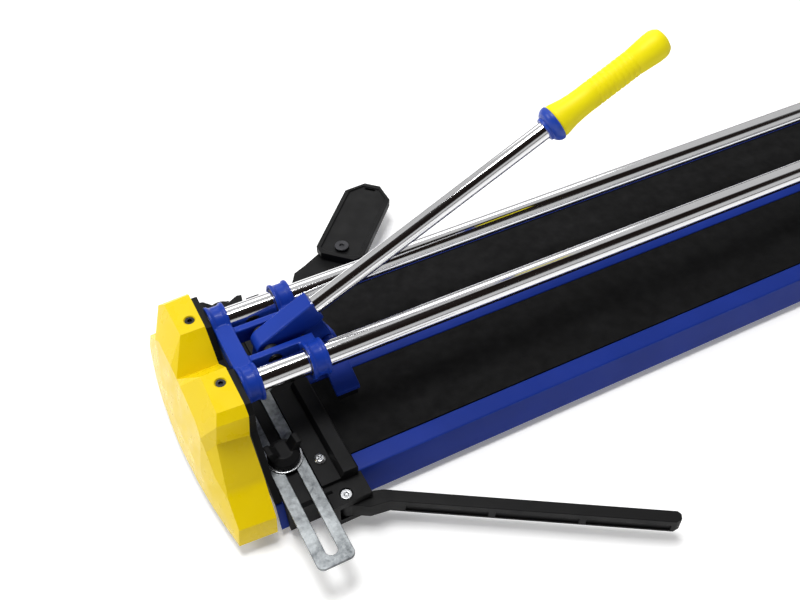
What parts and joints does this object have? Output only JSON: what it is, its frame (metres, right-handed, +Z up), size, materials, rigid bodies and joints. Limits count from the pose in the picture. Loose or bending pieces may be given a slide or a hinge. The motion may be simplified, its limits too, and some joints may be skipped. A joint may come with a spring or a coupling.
{
  "type": "tile cutter",
  "caption": "Manual rail tile cutter: a push lever on a sliding carriage scores and snaps tiles laid on a padded bed, with a slotted guide bar and folding side arms",
  "frame": {"origin": "on the surface the feet stand on, midway along the bed and midway between its two sides, at the middle foot's underside", "axes": "+X runs along the rails away from the parked carriage, +Y points to the far side, +Z is up"},
  "size_m": [0.928, 0.5044, 0.3032],
  "materials": {
    "tray_blue": "blue powder coat on pressed steel",
    "carriage_blue": "semi-gloss blue paint on cast aluminium",
    "cap_yellow": "glossy moulded yellow plastic",
    "black_plastic": "matt black moulded plastic",
    "pad_rubber": "matt black ribbed rubber",
    "rail_chrome": "hard chrome plated steel tube",
    "zinc": "zinc plated steel",
    "galvanised": "mottled galvanised steel strip",
    "dark_steel": "black oxide steel",
    "bush_plastic": "dark grey acetal",
    "grip_yellow": "soft yellow grip rubber",
    "ferrule_blue": "blue moulded plastic",
    "carbide": "ground hard metal"
  },
  "bodies": {
    "frame": {"bed_tray": "tray_blue", "breaking_ridge": "tray_blue", "near_pad": "pad_rubber", "far_pad": "pad_rubber", "left_cross_member": "zinc", "right_cross_member": "zinc", "spine_beam": "zinc", "rubber_feet": "pad_rubber", "left_end_plate": "black_plastic", "right_end_plate": "black_plastic", "left_end_cap": "cap_yellow", "right_end_cap": "cap_yellow", "near_rail": "rail_chrome", "far_rail": "rail_chrome", "cap_screws": "dark_steel", "plate_screws": "zinc", "guide_bed": "black_plastic", "fence": "black_plastic", "fence_screws": "zinc", "bar_studs": "zinc", "near_arm_bracket": "black_plastic", "near_arm_screw": "zinc", "far_arm_bracket": "black_plastic", "bracket_screws": "zinc", "far_arm_screw": "dark_steel", "bar_washers": "zinc"},
    "carriage_body": {"carriage": "carriage_blue", "glide_bushes": "bush_plastic", "lever_pin": "dark_steel", "pin_clips": "dark_steel"},
    "lever": {"lever_head": "carriage_blue", "lever_washers": "bush_plastic", "handle_tube": "rail_chrome", "grip_ferrule": "ferrule_blue", "grip": "grip_yellow", "breaker_pin": "zinc", "wheel_holder": "zinc", "holder_screw": "dark_steel", "wheel_axle": "zinc"},
    "breaker": {"breaker_foot": "tray_blue", "foot_ears": "tray_blue", "breaker_pads": "pad_rubber"},
    "wheel": {"scoring_wheel": "carbide"},
    "bar": {"guide_bar": "galvanised"},
    "near_arm_body": {"near_arm": "black_plastic"},
    "far_arm_body": {"far_arm": "black_plastic"},
    "near_knob_body": {"near_knob": "black_plastic"},
    "far_knob_body": {"far_knob": "black_plastic"}
  },
  "joints": [
    {"name": "carriage_slide", "type": "slide", "parent": "frame", "child": "carriage_body", "axis": [1, 0, 0], "range_m": [0, 0.7]},
    {"name": "lever_hinge", "type": "hinge", "parent": "carriage_body", "child": "lever", "pos_m": [-0.368, 0, 0.104], "axis": [0, 1, 0], "range_deg": [-22.5, 12.8]},
    {"name": "breaker_hinge", "type": "hinge", "parent": "lever", "child": "breaker", "pos_m": [-0.31347, 0, 0.08512], "axis": [0, -1, 0], "range_deg": [-22.5, 12.8]},
    {"name": "wheel_spin", "type": "hinge", "parent": "lever", "child": "wheel", "pos_m": [-0.3804, 0, 0.05196], "axis": [0, 1, 0], "continuous": true},
    {"name": "bar_slide", "type": "slide", "parent": "frame", "child": "bar", "axis": [0, 1, 0], "range_m": [-0.07, 0.08]},
    {"name": "near_arm_hinge", "type": "hinge", "parent": "frame", "child": "near_arm_body", "pos_m": [-0.3555, -0.1305, 0.023], "axis": [0, 0, 1], "range_deg": [-58, 31]},
    {"name": "far_arm_hinge", "type": "hinge", "parent": "frame", "child": "far_arm_body", "pos_m": [-0.2295, 0.147, 0.026], "axis": [0, 0, 1], "range_deg": [-45, 60]},
    {"name": "near_knob_turn", "type": "hinge", "parent": "frame", "child": "near_knob_body", "pos_m": [-0.38875, -0.076, 0.05], "axis": [0, 0, 1], "continuous": true},
    {"name": "far_knob_turn", "type": "hinge", "parent": "frame", "child": "far_knob_body", "pos_m": [-0.37825, 0.1, 0.05], "axis": [0, 0, 1], "continuous": true}
  ]
}
